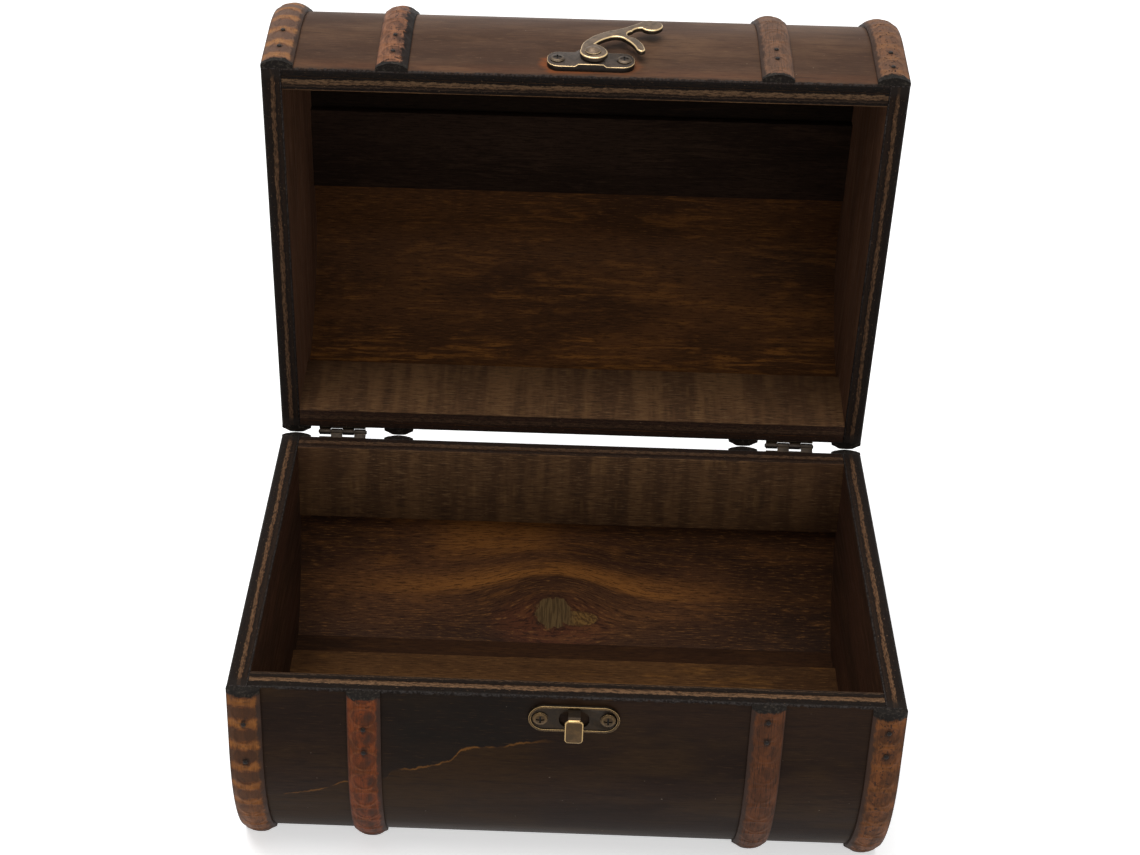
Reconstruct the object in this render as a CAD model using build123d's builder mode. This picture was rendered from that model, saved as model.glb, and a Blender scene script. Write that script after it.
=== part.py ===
from build123d import *
from math import asin, cos, degrees, radians, sin
import os

os.makedirs("parts", exist_ok=True)

# A small domed treasure chest of stained wood, standing open. Millimetres.
# The origin is the centre of the underside. +X is to the right seen from the front,
# +Y goes to the back, where the hinges are, and +Z is up.

# The chest as a whole
chest_width = 220
chest_depth = 155
base_height = 80
lid_height = 81
rim_gap = 0.3  # between the rims of the closed chest
lid_opening = 83  # degrees that the lid stands open

# Boards
end_board = 7
base_panel = 5.6
lid_panel = 3
wall_at_rim = 8.6  # panel and liner together
liner_height = 31
base_straight_share = 0.325  # of the base's height: the panel is flat this far below the rim, then curves
lid_straight = 25
foot_inset = 25.5  # the underside's edge lies this far inside the rim
crown_radius = 30
shoulder_angle = 54.3  # degrees where the lid's side curve hands over to the crown's
bottom_board = 6
floor_board = 4
floor_half_width = 35.5
ridge_half_width = 17
ridge_strip = 3.2

# Ribs of half-round moulding, called straps
strap_width = 11
strap_rise = 3
strap_flank = 0.9
strap_setback = 0.2  # from the end of a rib to the rim
strap_spacing_share = 0.1773  # of the chest's width, between the two straps at each end
overrun = 1  # added to a cut that goes right through

# Brads through the straps
nail_head_radius = 0.8
nail_head = 0.4
nail_radius = 0.4
nail_length = 7
fastener_play = 0.03  # round every nail and screw

# Hinges
hinge_shift_share = -0.009  # of the chest's width, from midway between those two straps
axis_setback = 2.4  # behind the back walls
axis_rise = 0.8  # above the base's rim
leaf_sheet = 0.6
leaf_height = 10
leaf_setback = 0.25  # below the base's rim and above the lid's
knuckle_radius = 1.2
knuckle_length_share = 0.0195  # of the chest's width
knuckle_gap = 0.15
knuckles = 4
pin_radius = 0.6
pin_play = 0.05
pin_head = 0.35

# Screws of the hinge leaves
leaf_screw_head_radius = 1.3
leaf_screw_head = 0.7
leaf_screw_radius = 0.7
leaf_screw_length = 5

# Screws of the latch
screw_head_radius = 2.5
screw_head = 1
screw_rim = 0.35
screw_radius = 1.1
screw_length = 6.5
recess_length = 2.7
recess_width = 0.55
recess_depth = 0.6

# Latch plate on the lid, seen from the front of the closed chest
plate_centre = 2.0  # right of the chest's middle
plate_rise = 8.3  # from the lid's rim to the plate's middle
plate_length = 29.8
plate_height = 10
plate_corner = 4.2
plate_sheet = 0.8
plate_top = 2.0
plate_crest_length = 8.4
plate_crest = 0.9
crest_run = 1.2  # the slope at each side of the raised middle
plate_screw_spacing = 22.8
washer_radius = 3.6
washer_sheet = 0.45
washer_play = 0.05

# Hook, its rivet and where it turns
pivot_offset = 0.65  # right of the plate's middle
pivot_rise = 8.9  # above the lid's rim
hook_sheet = 1.6
hook_reach = 24
rivet_radius = 1.3
rivet_play = 0.06
rivet_head_radius = 2.75
rivet_head = 1.4
rivet_tail_radius = 2
rivet_tail = 0.6

# Keeper on the base
keeper_centre = 2.95
keeper_drop = 8  # from the base's rim to the keeper's middle
keeper_length = 29.7
keeper_height = 10.2
keeper_sheet = 1
keeper_lip = 0.35  # the raised rim of the plate
keeper_lip_width = 0.8
keeper_screw_spacing = 22
window_length = 9.9
window_height = 6.6
window_corner = 3
tongue_sheet = 1
tongue_reach = 5.6  # from the wall to the back of the tongue
tongue_bend = 1.6
neck_width = 4
neck_drop = 3.8  # from the base's rim to the top of the neck
tongue_width = 6.1
tongue_length = 9
tongue_corner = 1.4

# Places that follow from the sizes above
front, back = -1, 1
left, right = -1, 1
half_depth = chest_depth / 2
inner_half_width = chest_width / 2 - end_board
strap_spacing = chest_width * strap_spacing_share
strap_places = (
    -chest_width / 2 + strap_width / 2,
    -chest_width / 2 + strap_width / 2 + strap_spacing,
    chest_width / 2 - strap_width / 2 - strap_spacing,
    chest_width / 2 - strap_width / 2,
)
base_straight = base_height * base_straight_share
base_drop = base_height - base_straight
base_radius = (foot_inset**2 + base_drop**2) / (2 * foot_inset)
foot_angle = degrees(asin(base_drop / base_radius))
shoulder = radians(shoulder_angle)
side_radius = crown_radius + (lid_height - lid_straight - crown_radius) / sin(shoulder)
crown_half_width = half_depth - side_radius + (side_radius - crown_radius) * cos(shoulder)
hinge_line = (0, half_depth + axis_setback, base_height + axis_rise)
hinge_centres = [
    (strap_places[number] + strap_places[number + 1]) / 2 + chest_width * hinge_shift_share for number in (0, 2)
]
knuckle_length = chest_width * knuckle_length_share
hinge_length = knuckles * knuckle_length + (knuckles - 1) * knuckle_gap

# The base's frame stands on the ground. The lid's has its rim as ground and leans back.
base = Plane.XY
closed_lid = Plane.XY.offset(base_height + rim_gap)
turn_open = Pos(hinge_line) * Rot(X=-lid_opening) * Pos(Vector(hinge_line) * -1)
lid = Plane(turn_open * closed_lid.location)


def section(frame, side=back, x=0):
    # Crosswise plane: its x runs outward to that side and its y up from the frame's ground
    return Plane(frame.from_local_coords((x, 0, 0)), x_dir=frame.y_dir * side, z_dir=frame.x_dir * side)


def wall(frame, side, x, height, out=0):
    # Plane on a rim wall's outer face, looking outward, with its y up
    origin = frame.from_local_coords((x, side * (half_depth + out), height))
    return Plane(origin, x_dir=frame.x_dir * -side, z_dir=frame.y_dir * side)


def base_face(side, x, drop):
    # Plane on the base's outer face, that far down along it from the rim
    turn = max(0, drop - base_straight) / base_radius
    out = half_depth - base_radius * (1 - cos(turn))
    height = base_height - min(drop, base_straight) - base_radius * sin(turn)
    return Plane((x, side * out, height), x_dir=(-side, 0, 0), z_dir=(0, side * cos(turn), -sin(turn)))


def base_half(inset, mode=Mode.ADD):
    # Half of the base's cross-section, inside its outer face by the inset
    out = half_depth - inset
    radius = base_radius - inset
    with BuildLine() as outline:
        top = Line((0, base_height), (out, base_height))
        Line(top @ 1, (out, base_height - base_straight))
        bend = CenterArc((half_depth - base_radius, base_drop), radius, 0, -degrees(asin(base_drop / radius)))
        Polyline(bend @ 1, (0, 0), top @ 0)
    make_face(outline.edges(), mode=mode)


def lid_half_line(inset, foot=0):
    # The lid's outline from the rim to the crown, inside its outer face by the inset
    Line((half_depth - inset, foot), (half_depth - inset, lid_straight))
    CenterArc((half_depth - side_radius, lid_straight), side_radius - inset, 0, shoulder_angle)
    turn = CenterArc((crown_half_width, lid_height - crown_radius), crown_radius - inset,
                     shoulder_angle, 90 - shoulder_angle)
    Line(turn @ 1, (0, lid_height - inset))


def lid_half(inset, mode=Mode.ADD):
    with BuildLine() as outline:
        lid_half_line(inset)
        Polyline((0, lid_height - inset), (0, 0), (half_depth - inset, 0))
    make_face(outline.edges(), mode=mode)


def strap_profile():
    # A half-round moulding on low flanks, lying on the x axis
    with BuildLine() as outline:
        Polyline((-strap_width / 2, strap_flank), (-strap_width / 2, 0), (strap_width / 2, 0),
                 (strap_width / 2, strap_flank))
        ThreePointArc((strap_width / 2, strap_flank), (0, strap_rise), (-strap_width / 2, strap_flank))
    make_face(outline.edges())


def pan_head(place, radius, height, rim):
    # A turned head with a domed top, standing on its place
    with BuildSketch(Plane(place.origin, x_dir=place.x_dir, z_dir=place.y_dir * -1)) as profile:
        with BuildLine():
            Polyline((0, height), (0, 0), (radius, 0), (radius, rim))
            TangentArc((0, height), (radius, rim), tangent=(1, 0))
        make_face()
    revolve(profile.sketch, axis=Axis(place.origin, place.z_dir))


def drill(places, radius, depth):
    # Holes from their places inward, with play round the fastener
    with Locations(*places):
        Cylinder(radius + fastener_play, depth, align=(Align.CENTER, Align.CENTER, Align.MAX),
                 mode=Mode.SUBTRACT)


def shanks(places, radius, length):
    with Locations(*places):
        Cylinder(radius, length, align=(Align.CENTER, Align.CENTER, Align.MAX))


def write(piece, name):
    piece.part.label = name
    export_step(piece.part, f"parts/{name}.step")


# Where the brads go: how far along the straight part of each strap, from the rim down
# on the base and up on the lid, seen from the left
base_nail_shares = ((0.51, 1.11), (0.53, 0.9), (0.2, 0.51), (0.3, 0.67))
lid_nail_shares = ((0.4, 0.85), (0.35, 0.8), (0.44, 0.69), (0.3, 0.69))
hidden_nail_shares = (0.4, 0.85)


def base_nail_places(side, number):
    shares = base_nail_shares[number] if side == front else hidden_nail_shares
    return [base_face(side, strap_places[number], share * base_straight).offset(strap_rise) for share in shares]


def lid_nail_places(side, number):
    shares = lid_nail_shares[number] if side == front else hidden_nail_shares
    return [wall(lid, side, strap_places[number], share * lid_straight, strap_rise) for share in shares]


base_nails = {side: [place for number in range(4) for place in base_nail_places(side, number)]
              for side in (front, back)}
lid_nails = {side: [place for number in range(4) for place in lid_nail_places(side, number)]
             for side in (front, back)}

# Where the screws go, on the face that their heads lie on
keeper_screw_places = [
    wall(base, front, keeper_centre + end * keeper_screw_spacing / 2, base_height - keeper_drop, keeper_sheet)
    for end in (left, right)
]
plate_screw_places = [
    wall(lid, front, plate_centre + end * plate_screw_spacing / 2, plate_rise, plate_top) for end in (left, right)
]
leaf_screw_rise = leaf_setback + leaf_height / 2 + leaf_screw_head_radius
leaf_screw_offset = hinge_length / 2 - 2 * leaf_screw_head_radius


def leaf_screw_places(frame, rise):
    return [
        wall(frame, back, centre + end * leaf_screw_offset, rise, leaf_sheet)
        for centre in hinge_centres for end in (left, right)
    ]


base_leaf_screws = leaf_screw_places(base, base_height - leaf_screw_rise)
lid_leaf_screws = leaf_screw_places(lid, leaf_screw_rise)

# End boards: the full cross-section, at both ends of the chest
for end, name in ((left, "left"), (right, "right")):
    inner_face = end * inner_half_width
    with BuildPart() as base_end:
        with BuildSketch(section(base, back, inner_face)):
            base_half(0)
            mirror(about=Plane.YZ)
        extrude(amount=end * end_board)
        drill(base_nails[front] + base_nails[back], nail_radius, nail_length)
    write(base_end, f"base_end_{name}")

    with BuildPart() as lid_end:
        with BuildSketch(section(lid, back, inner_face)):
            lid_half(0)
            mirror(about=Plane.YZ)
        extrude(amount=end * end_board)
        drill(lid_nails[front] + lid_nails[back], nail_radius, nail_length)
    write(lid_end, f"lid_end_{name}")

# Bent panels between the end boards, and the liners inside their rims
for side, name in ((front, "front"), (back, "back")):
    with BuildPart() as base_bent_panel:
        with BuildSketch(section(base, side)):
            base_half(0)
            base_half(base_panel, mode=Mode.SUBTRACT)
            with Locations((0, 0)):
                Rectangle(half_depth - base_panel - foot_inset, base_panel, align=(Align.MIN, Align.MIN),
                          mode=Mode.SUBTRACT)
        extrude(amount=inner_half_width, both=True)
        drill(base_nails[side], nail_radius, nail_length)
        if side == front:
            drill(keeper_screw_places, screw_radius, screw_length)
        else:
            drill(base_leaf_screws, leaf_screw_radius, leaf_screw_length)
    write(base_bent_panel, f"base_{name}_panel")

    with BuildPart() as base_liner:
        with BuildSketch(section(base, side)):
            base_half(base_panel)
            with Locations((half_depth, base_height)):
                Rectangle(wall_at_rim, liner_height, align=(Align.MAX, Align.MAX), mode=Mode.INTERSECT)
        extrude(amount=inner_half_width, both=True)
        if side == front:
            drill(keeper_screw_places, screw_radius, screw_length)
    write(base_liner, f"base_{name}_liner")

    with BuildPart() as lid_bent_panel:
        with BuildSketch(section(lid, side)):
            lid_half(0)
            lid_half(lid_panel, mode=Mode.SUBTRACT)
        extrude(amount=inner_half_width, both=True)
        drill(lid_nails[side], nail_radius, nail_length)
        if side == front:
            drill(plate_screw_places, screw_radius, screw_length)
        else:
            drill(lid_leaf_screws, leaf_screw_radius, leaf_screw_length)
    write(lid_bent_panel, f"lid_{name}_panel")

    with BuildPart() as lid_liner:
        with BuildSketch(section(lid, side)):
            lid_half(lid_panel)
            with Locations((half_depth, 0)):
                Rectangle(wall_at_rim, liner_height, align=(Align.MAX, Align.MIN), mode=Mode.INTERSECT)
        extrude(amount=inner_half_width, both=True)
        drill(lid_nails[side], nail_radius, nail_length)
        if side == front:
            drill(plate_screw_places, screw_radius, screw_length)
        else:
            drill(lid_leaf_screws, leaf_screw_radius, leaf_screw_length)
    write(lid_liner, f"lid_{name}_liner")

# Flat boards: the bottom between the panels' feet, the raised floor on it, and the strip
# inside the lid that covers the joint of its two panels
with BuildPart() as base_bottom_board:
    with BuildSketch(section(base)):
        base_half(base_panel)
        mirror(about=Plane.YZ)
        Rectangle(chest_depth, bottom_board, align=(Align.CENTER, Align.MIN), mode=Mode.INTERSECT)
    extrude(amount=inner_half_width, both=True)
write(base_bottom_board, "base_bottom_board")

with BuildPart() as base_floor_board:
    with BuildSketch(section(base)):
        with Locations((0, bottom_board)):
            Rectangle(2 * floor_half_width, floor_board, align=(Align.CENTER, Align.MIN))
    extrude(amount=inner_half_width, both=True)
write(base_floor_board, "base_floor_board")

with BuildPart() as lid_ridge_strip:
    with BuildSketch(section(lid)):
        with Locations((0, lid_height - lid_panel)):
            Rectangle(2 * ridge_half_width, ridge_strip, align=(Align.CENTER, Align.MAX))
    extrude(amount=inner_half_width, both=True)
write(lid_ridge_strip, "lid_ridge_strip")

# Straps: four up each side of the base, cut flat on the ground, and four over the lid
for number, place in enumerate(strap_places):
    for side, name in ((front, "front"), (back, "back")):
        top = base_height - strap_setback
        with BuildPart() as base_strap:
            with BuildLine(section(base, side, place)) as down:
                Line((half_depth, top), (half_depth, base_height - base_straight))
                CenterArc((half_depth - base_radius, base_drop), base_radius, 0, -foot_angle)
            with BuildSketch(Plane((place, side * half_depth, top), x_dir=(-side, 0, 0), z_dir=(0, 0, -1))):
                strap_profile()
            sweep(path=down.wire())
            split(bisect_by=Plane.XY, keep=Keep.TOP)
            drill(base_nail_places(side, number), nail_radius, nail_length)
        write(base_strap, f"base_strap_{name}_{number + 1}")

    with BuildPart() as lid_strap:
        with BuildLine(section(lid, front, place)) as over:
            lid_half_line(0, foot=strap_setback)
            mirror(about=Plane(lid.origin, x_dir=lid.x_dir, z_dir=lid.y_dir))
        with BuildSketch(Plane(lid.from_local_coords((place, -half_depth, strap_setback)),
                               x_dir=lid.x_dir * -1, z_dir=lid.z_dir)):
            strap_profile()
        sweep(path=over.wire())
        drill(lid_nail_places(front, number) + lid_nail_places(back, number), nail_radius, nail_length)
    write(lid_strap, f"lid_strap_{number + 1}")

with BuildPart() as base_strap_nails:
    for place in base_nails[front] + base_nails[back]:
        pan_head(place, nail_head_radius, nail_head, nail_head / 2)
    shanks(base_nails[front] + base_nails[back], nail_radius, nail_length)
write(base_strap_nails, "base_strap_nails")

with BuildPart() as lid_strap_nails:
    for place in lid_nails[front] + lid_nails[back]:
        pan_head(place, nail_head_radius, nail_head, nail_head / 2)
    shanks(lid_nails[front] + lid_nails[back], nail_radius, nail_length)
write(lid_strap_nails, "lid_strap_nails")

# Hinges: a leaf on each back wall, with two rolled knuckles each, taking turns along the pin


def knuckle_places(centre, first):
    pitch = knuckle_length + knuckle_gap
    start = centre - hinge_length / 2 + knuckle_length / 2
    return [start + number * pitch for number in range(first, knuckles, 2)]


def hinge_leaf(frame, rim, up, axis_height, centre, first):
    # rim is the wall's edge in the frame, and up is the way from that edge into the wall
    bore = pin_radius + pin_play
    edge = rim + up * leaf_setback
    for x in knuckle_places(centre, first):
        with BuildSketch(section(frame, back, x)) as knuckle:
            with Locations((half_depth + axis_setback, axis_height)):
                Circle(knuckle_radius)
            with BuildLine():
                Polyline(
                    (half_depth, edge),
                    (half_depth + axis_setback - knuckle_radius, axis_height),
                    (half_depth + axis_setback - knuckle_radius / 3, axis_height + up * (knuckle_radius - leaf_setback)),
                    (half_depth + leaf_sheet, edge + up * 2 * leaf_sheet),
                    (half_depth, edge + up * 2 * leaf_sheet),
                    close=True,
                )
            make_face()
            with Locations((half_depth + axis_setback, axis_height)):
                Circle(bore, mode=Mode.SUBTRACT)
        extrude(knuckle.sketch, amount=knuckle_length / 2, both=True)
    with BuildSketch(wall(frame, back, centre, edge + up * leaf_height / 2)) as leaf:
        Rectangle(hinge_length, leaf_height)
    extrude(leaf.sketch, amount=leaf_sheet)


for (end, name), centre in zip(((left, "left"), (right, "right")), hinge_centres):
    with BuildPart() as base_leaf:
        hinge_leaf(base, base_height, -1, base_height + axis_rise, centre, 1)
        drill(base_leaf_screws, leaf_screw_radius, leaf_screw_length)
    write(base_leaf, f"hinge_{name}_base_leaf")

    with BuildPart() as lid_leaf:
        hinge_leaf(lid, 0, 1, axis_rise - rim_gap, centre, 0)
        drill(lid_leaf_screws, leaf_screw_radius, leaf_screw_length)
    write(lid_leaf, f"hinge_{name}_lid_leaf")

    with BuildPart() as hinge_pin:
        pin_start = Plane.YZ.offset(centre - hinge_length / 2 - pin_play)
        with BuildSketch(Plane(pin_start.from_local_coords((hinge_line[1], hinge_line[2], 0)), z_dir=(1, 0, 0))):
            Circle(pin_radius)
        extrude(amount=hinge_length + 2 * pin_play)
        heads = (hinge_pin.faces().sort_by(Axis.X)[0], hinge_pin.faces().sort_by(Axis.X)[-1])
        for head in heads:
            with BuildSketch(Plane(head)):
                Circle(pin_radius + 2 * pin_play)
            extrude(amount=pin_head)
    write(hinge_pin, f"hinge_{name}_pin")

for places, name in ((base_leaf_screws, "hinge_base_screws"), (lid_leaf_screws, "hinge_lid_screws")):
    with BuildPart() as leaf_screws:
        for place in places:
            pan_head(place, leaf_screw_head_radius, leaf_screw_head, leaf_screw_head / 3)
        shanks(places, leaf_screw_radius, leaf_screw_length)
    write(leaf_screws, name)


def latch_screws(places):
    # Cross-head screws whose heads lie on their places
    for place in places:
        pan_head(place, screw_head_radius, screw_head, screw_rim)
    shanks(places, screw_radius, screw_length)
    for place in places:
        with BuildSketch(place.offset(screw_head)) as recess:
            Rectangle(recess_length, recess_width)
            Rectangle(recess_width, recess_length)
        extrude(recess.sketch, amount=-recess_depth, mode=Mode.SUBTRACT)


# Keeper: a plate with a raised rim and a window, and a tongue bent out and down from its top
with BuildPart() as keeper_plate:
    keeper_face = wall(base, front, keeper_centre, base_height - keeper_drop)
    with BuildSketch(keeper_face):
        SlotOverall(keeper_length, keeper_height)
    extrude(amount=keeper_sheet)
    with BuildSketch(keeper_face.offset(keeper_sheet)):
        SlotOverall(keeper_length, keeper_height)
        SlotOverall(keeper_length - 2 * keeper_lip_width, keeper_height - 2 * keeper_lip_width, mode=Mode.SUBTRACT)
    extrude(amount=keeper_lip)
    with BuildSketch(keeper_face.offset(-overrun)):
        with Locations((0, keeper_drop - neck_drop - tongue_sheet - window_height / 2)):
            RectangleRounded(window_length, window_height, window_corner)
    extrude(amount=keeper_sheet + 2 * overrun, mode=Mode.SUBTRACT)
    with BuildSketch(section(base, front, keeper_centre)):
        neck_top = base_height - neck_drop
        tongue_face = half_depth + tongue_reach + tongue_sheet
        bend_start = (tongue_face - tongue_bend, neck_top)
        bend_end = (tongue_face, neck_top - tongue_bend)
        with BuildLine():
            Line((half_depth + keeper_sheet / 2, neck_top), bend_start)
            RadiusArc(bend_start, bend_end, tongue_bend)
            Polyline(bend_end, (tongue_face, neck_top - 2 * tongue_bend),
                     (tongue_face - tongue_sheet, neck_top - 2 * tongue_bend),
                     (tongue_face - tongue_sheet, neck_top - tongue_bend))
            RadiusArc((tongue_face - tongue_sheet, neck_top - tongue_bend),
                      (tongue_face - tongue_bend, neck_top - tongue_sheet), tongue_sheet - tongue_bend)
            Polyline((tongue_face - tongue_bend, neck_top - tongue_sheet),
                     (half_depth + keeper_sheet / 2, neck_top - tongue_sheet),
                     (half_depth + keeper_sheet / 2, neck_top))
        make_face()
    extrude(amount=neck_width / 2, both=True)
    with BuildSketch(keeper_face.offset(tongue_reach)):
        with Locations((0, keeper_drop - neck_drop - tongue_bend / 2 - tongue_length / 2)):
            RectangleRounded(tongue_width, tongue_length, tongue_corner)
    extrude(amount=tongue_sheet)
    drill(keeper_screw_places, screw_radius, screw_length)
write(keeper_plate, "keeper_plate")

with BuildPart() as keeper_screws:
    latch_screws(keeper_screw_places)
write(keeper_screws, "keeper_screws")

# Latch plate: a dished pressing with a raised middle, hollow underneath
plate_face = wall(lid, front, plate_centre, plate_rise)
pivot_face = wall(lid, front, plate_centre + pivot_offset, pivot_rise, plate_top + plate_crest)


def pressing(inset, mode=Mode.ADD):
    # The plate's form, inside its outer faces by the inset, added to or cut from the piece
    with BuildSketch(plate_face) as foot:
        RectangleRounded(plate_length - 2 * inset, plate_height - 2 * inset, plate_corner - inset)
    extrude(foot.sketch, amount=plate_top - inset, mode=mode)
    half_foot = plate_crest_length / 2 + crest_run - inset
    half_crest = plate_crest_length / 2 - inset
    crest_face = plate_face.offset(plate_top - inset)
    with BuildSketch(Plane(crest_face.origin, x_dir=plate_face.x_dir, z_dir=plate_face.y_dir * -1)) as crest:
        with BuildLine():
            Polyline((-half_foot, 0), (half_foot, 0), (half_crest, plate_crest), (-half_crest, plate_crest),
                     close=True)
        make_face()
    extrude(crest.sketch, amount=plate_height / 2 - inset, both=True, mode=mode)


with BuildPart() as hook_plate:
    pressing(0)
    pressing(plate_sheet, mode=Mode.SUBTRACT)
    drill(plate_screw_places, screw_radius, screw_length)
    drill([pivot_face], rivet_radius, plate_sheet + overrun)
write(hook_plate, "hook_plate")

with BuildPart() as hook_plate_screws:
    latch_screws(plate_screw_places)
write(hook_plate_screws, "hook_plate_screws")

with BuildPart() as hook_washer:
    with BuildSketch(pivot_face):
        Circle(washer_radius)
        Circle(rivet_radius + fastener_play, mode=Mode.SUBTRACT)
    extrude(amount=washer_sheet)
write(hook_washer, "hook_washer")

# The hook, drawn about its pivot as it stands swung up. Shares of the hook's reach.
hub_shares = ((-0.175, 0.08), (0.02, -0.192), (0.208, -0.042))
notch_shares = ((0.208, -0.042), (0.165, 0.11), (0.025, 0.215))
claw_root_shares = ((0.025, 0.215), (0.135, 0.35), (0.235, 0.42))
claw_top_shares = ((0.235, 0.42), (0.36, 0.445), (0.475, 0.365))
claw_side_shares = ((0.475, 0.365), (0.567, 0.238), (0.621, 0.094))
tip_shares = ((0.671, 0.0375), (0.725, 0.065), (0.733, 0.133))
claw_back_shares = ((0.733, 0.133), (0.68, 0.308), (0.575, 0.442))
crotch_shares = ((0.575, 0.442), (0.49, 0.51), (0.56, 0.625))
paddle_root_shares = ((0.56, 0.625), (0.64, 0.715), (0.7, 0.725))
paddle_under_shares = ((0.7, 0.725), (0.84, 0.65), (0.967, 0.717))
paddle_end_shares = ((0.967, 0.717), (1.0, 0.83), (0.925, 0.921))
paddle_top_shares = ((0.925, 0.921), (0.81, 0.955), (0.696, 0.908))
arm_shares = ((0.696, 0.908), (0.5, 0.755), (0.292, 0.633))
shoulder_shares = ((0.292, 0.633), (0.07, 0.51), (-0.075, 0.355))
neck_shares = ((-0.075, 0.355), (-0.15, 0.22), (-0.175, 0.08))
outline_before_tip = (hub_shares, notch_shares, claw_root_shares, claw_top_shares, claw_side_shares)
outline_after_tip = (tip_shares, claw_back_shares, crotch_shares, paddle_root_shares, paddle_under_shares,
                     paddle_end_shares, paddle_top_shares, arm_shares, shoulder_shares, neck_shares)


def in_reach(share):
    return (share[0] * hook_reach, share[1] * hook_reach)


with BuildPart() as hook:
    hook_face = pivot_face.offset(washer_sheet + washer_play)
    with BuildSketch(hook_face):
        with BuildLine():
            for shares in outline_before_tip + outline_after_tip:
                ThreePointArc(*[in_reach(share) for share in shares])
            Line(in_reach(claw_side_shares[-1]), in_reach(tip_shares[0]))
        make_face()
        Circle(rivet_radius + rivet_play, mode=Mode.SUBTRACT)
    extrude(amount=hook_sheet)
write(hook, "hook")

# The rivet is fast in the plate and the hook turns on it
with BuildPart() as hook_rivet:
    tail_face = pivot_face.offset(-plate_sheet)
    head_face = hook_face.offset(hook_sheet + washer_play)
    with BuildSketch(tail_face):
        Circle(rivet_radius)
    extrude(amount=plate_sheet + washer_sheet + 2 * washer_play + hook_sheet)
    pan_head(head_face, rivet_head_radius, rivet_head, rivet_head / 4)
    with BuildSketch(tail_face):
        Circle(rivet_tail_radius)
    extrude(amount=-rivet_tail)
write(hook_rivet, "hook_rivet")
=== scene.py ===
from math import ceil, cos, exp, hypot, pi, radians, sin

import bmesh
import bpy
from mathutils import Matrix, Vector, noise


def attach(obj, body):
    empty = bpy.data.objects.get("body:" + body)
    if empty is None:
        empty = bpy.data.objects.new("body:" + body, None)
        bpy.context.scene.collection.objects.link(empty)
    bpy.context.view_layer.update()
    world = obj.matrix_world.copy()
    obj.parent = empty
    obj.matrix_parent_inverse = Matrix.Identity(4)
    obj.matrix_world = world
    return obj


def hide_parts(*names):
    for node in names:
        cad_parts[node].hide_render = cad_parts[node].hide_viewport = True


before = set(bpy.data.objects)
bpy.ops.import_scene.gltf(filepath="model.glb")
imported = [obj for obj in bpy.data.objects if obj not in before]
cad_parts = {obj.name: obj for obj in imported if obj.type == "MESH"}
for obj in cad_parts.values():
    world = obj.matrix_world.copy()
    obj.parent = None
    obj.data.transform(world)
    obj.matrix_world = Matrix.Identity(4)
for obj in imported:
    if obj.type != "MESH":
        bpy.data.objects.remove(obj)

scene = bpy.context.scene
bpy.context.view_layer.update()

# The chest's sizes in millimetres, as the CAD has them
chest = dict(
    halfWidth=110, halfDepth=77.5, baseHeight=80, endBoard=7, wallAtRim=8.6,
    basePanel=5.6, lidPanel=3.0, linerHeight=31, strapSpots=(-104.5, -65.494, 65.494, 104.5),
)
innerHalfWidth = chest["halfWidth"] - chest["endBoard"]
sides = {"front": -1, "back": 1}

# The base stands in the row's own frame. The lid's frame has its rim as ground and leans back.
millimetre = 0.001
millimetres = Matrix.Diagonal((millimetre, millimetre, millimetre, 1))
lidPlace = Vector((0, 0.0696664, 0.1600435))
lidLean = radians(-83)
frames = {
    "base": millimetres,
    "lid": Matrix.Translation(lidPlace) @ Matrix.Rotation(lidLean, 4, "X") @ millimetres,
}
rimUps = {"base": chest["baseHeight"], "lid": 0}

# How the walls run in the cross-section, outward and up from the frame's ground: the start,
# the heading in degrees, which way they bend, then straight runs (millimetres) and arcs (radius, degrees)
wallRuns = {
    "base": dict(start=(77.5, 80), heading=-90, bend=-1, runs=((26,), (69.926, 50.556))),
    "lid": dict(start=(77.5, 0), heading=90, bend=1, runs=((25,), (62.016, 54.3), (30, 35.7), (34.167,))),
}


# Nodes

def tone(red, green, blue):
    # A colour as it looks on screen, made linear
    values = [value / 255 for value in (red, green, blue)]
    return tuple(v / 12.92 if v <= 0.04045 else ((v + 0.055) / 1.055) ** 2.4 for v in values) + (1,)


drawing = {}     # holds the node tree that is being built


def addNode(kind, **settings):
    node = drawing["tree"].nodes.new(kind)
    for key, value in settings.items():
        setattr(node, key, value)
    return node


def feed(value, socket):
    if hasattr(value, "is_output"):
        drawing["tree"].links.new(value, socket)
    elif value is not None:
        socket.default_value = value


def sums(operation, a, b=None, c=None, clamp=False):
    node = addNode("ShaderNodeMath", operation=operation, use_clamp=clamp)
    for value, socket in zip((a, b, c), node.inputs):
        feed(value, socket)
    return node.outputs[0]


def chained(operation):
    def chain(first, *others):
        for other in others:
            first = sums(operation, first, other)
        return first
    return chain


times = chained("MULTIPLY")
plus = chained("ADD")
minus = chained("SUBTRACT")
divided = chained("DIVIDE")
larger = chained("MAXIMUM")
smaller = chained("MINIMUM")


def off(value, middle=0.0):
    # How far a value is from the middle, either way
    return sums("ABSOLUTE", minus(value, middle) if middle else value)


def apart(u, v):
    # The length of a slope with these two legs
    return sums("SQRT", plus(sums("POWER", u, 2.0), sums("POWER", v, 2.0)))


def swayed(value, drift, width):
    # A value moved to and fro by a cloud
    return plus(value, sums("MULTIPLY_ADD", drift, width, -width / 2))


def mixed(share, a, b):
    # A colour given as three numbers is one as it looks on screen
    node = addNode("ShaderNodeMix", data_type="RGBA")
    feed(share, node.inputs[0])
    for colour, socket in ((a, node.inputs[6]), (b, node.inputs[7])):
        feed(tone(*colour) if isinstance(colour, tuple) else colour, socket)
    return node.outputs[2]


def between(value, low, high, toLow=0.0, toHigh=1.0):
    # 0 below low, 1 above high, smooth between
    node = addNode("ShaderNodeMapRange", interpolation_type="SMOOTHSTEP")
    feed(value, node.inputs[0])
    for number, limit in enumerate((low, high, toLow, toHigh), 1):
        feed(limit, node.inputs[number])
    return node.outputs[0]


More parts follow.
